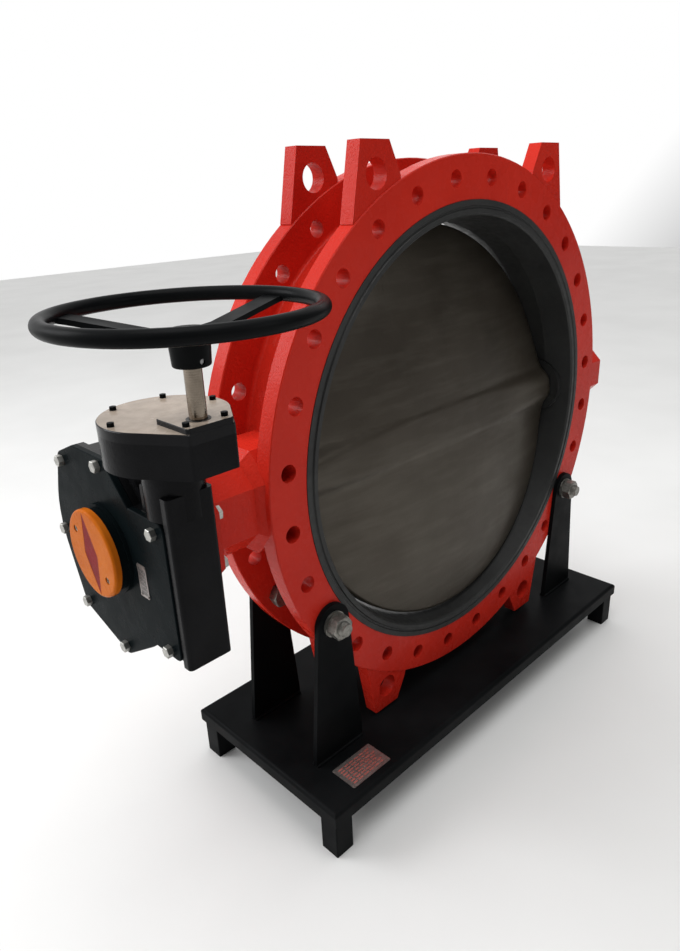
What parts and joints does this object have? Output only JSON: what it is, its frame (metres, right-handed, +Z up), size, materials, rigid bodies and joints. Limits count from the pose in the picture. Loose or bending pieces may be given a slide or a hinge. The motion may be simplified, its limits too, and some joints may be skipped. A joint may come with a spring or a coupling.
{
  "type": "butterfly valve",
  "caption": "Large double-flanged butterfly valve with rubber seat, worm gearbox, spur reducer and handwheel, bolted upright to a low steel transport stand.",
  "frame": {"origin": "centre of the inlet flange face, which is the face on the handwheel side of the tray", "axes": "+X along the stem away from the gearbox, +Y along the pipe from inlet to outlet, +Z up"},
  "size_m": [1.7869, 0.7085, 1.44],
  "materials": {
    "body_paint": "gloss enamel over casting",
    "seat_rubber": "matt moulded rubber",
    "seal_rubber": "matt",
    "bronze": "machined",
    "zinc_steel": "zinc plated",
    "stainless": "ground",
    "plain_steel": "machined",
    "input_steel": "polished",
    "bolt_steel": "dull plated",
    "black_steel": "black",
    "disc_iron": "satin coated",
    "gearbox_paint": "gloss black",
    "cover_paint": "gloss greenish black",
    "gasket": "fibre sheet",
    "plate_metal": "satin",
    "indicator_orange": "gloss",
    "pointer_red": "gloss",
    "handwheel_paint": "satin black",
    "stand_paint": "satin black"
  },
  "bodies": {
    "valve": {"cover_bolts": "zinc_steel", "cover_gasket": "gasket", "end_cover": "body_paint", "end_cover_screws": "zinc_steel", "gear_cover": "cover_paint", "gear_housing": "gearbox_paint", "gearbox_nameplate": "plate_metal", "gearbox_plate_rivets": "plate_metal", "input_bush_lower": "bronze", "input_bush_upper": "bronze", "input_seal": "seal_rubber", "leg_front_left": "stand_paint", "leg_front_right": "stand_paint", "leg_rear_left": "stand_paint", "leg_rear_right": "stand_paint", "pad_bolts": "zinc_steel", "reducer_case": "gearbox_paint", "reducer_case_screws": "plain_steel", "reducer_lid": "gearbox_paint", "reducer_screws": "black_steel", "seat_liner": "seat_rubber", "stand_nameplate": "plate_metal", "stand_plate_rivets": "plate_metal", "stand_tray": "stand_paint", "stem_bush_end_side": "bronze", "stem_bush_gear_side": "bronze", "stem_o_rings": "seal_rubber", "thrust_washer": "bronze", "upright_bolts": "bolt_steel", "upright_front_left": "stand_paint", "upright_front_right": "stand_paint", "upright_nuts": "bolt_steel", "upright_rear_left": "stand_paint", "upright_rear_right": "stand_paint", "upright_washers": "bolt_steel", "upright_welds": "stand_paint", "valve_body": "body_paint", "worm_bearing_lower": "bronze", "worm_bearing_nut": "plain_steel", "worm_bearing_upper": "bronze"},
    "disc_and_stem": {"disc": "disc_iron", "disc_pins": "stainless", "drive_shaft": "stainless", "stub_shaft": "stainless", "wheel_key": "plain_steel", "worm_wheel": "bronze", "indicator_cap": "indicator_orange", "indicator_pointer": "pointer_red", "indicator_screws": "zinc_steel"},
    "worm": {"worm_shaft": "plain_steel", "spur_gear": "plain_steel", "gear_key": "plain_steel", "gear_retaining_nut": "plain_steel"},
    "handwheel": {"pinion_shaft": "input_steel", "handwheel_hub": "handwheel_paint", "handwheel_pin": "plain_steel", "handwheel_rim": "handwheel_paint", "handwheel_spoke_1": "handwheel_paint", "handwheel_spoke_2": "handwheel_paint", "handwheel_spoke_3": "handwheel_paint"}
  },
  "joints": [
    {"name": "disc_turn", "type": "hinge", "parent": "valve", "child": "disc_and_stem", "pos_m": [0, 0.108, 0], "axis": [-1, 0, 0], "range_deg": [-8, 82]},
    {"name": "worm_spin", "type": "hinge", "parent": "valve", "child": "worm", "pos_m": [-0.858, -0.065, 0], "axis": [0, 0, 1], "range_deg": [-4925, 485]},
    {"name": "handwheel_spin", "type": "hinge", "parent": "valve", "child": "handwheel", "pos_m": [-0.858, -0.1565, 0.4], "axis": [0, 0, 1], "range_deg": [-1965, 20095]}
  ],
  "couplings": [
    {"joint": "worm_spin", "follows": "disc_turn", "ratio": -60},
    {"joint": "handwheel_spin", "follows": "disc_turn", "ratio": 245}
  ]
}
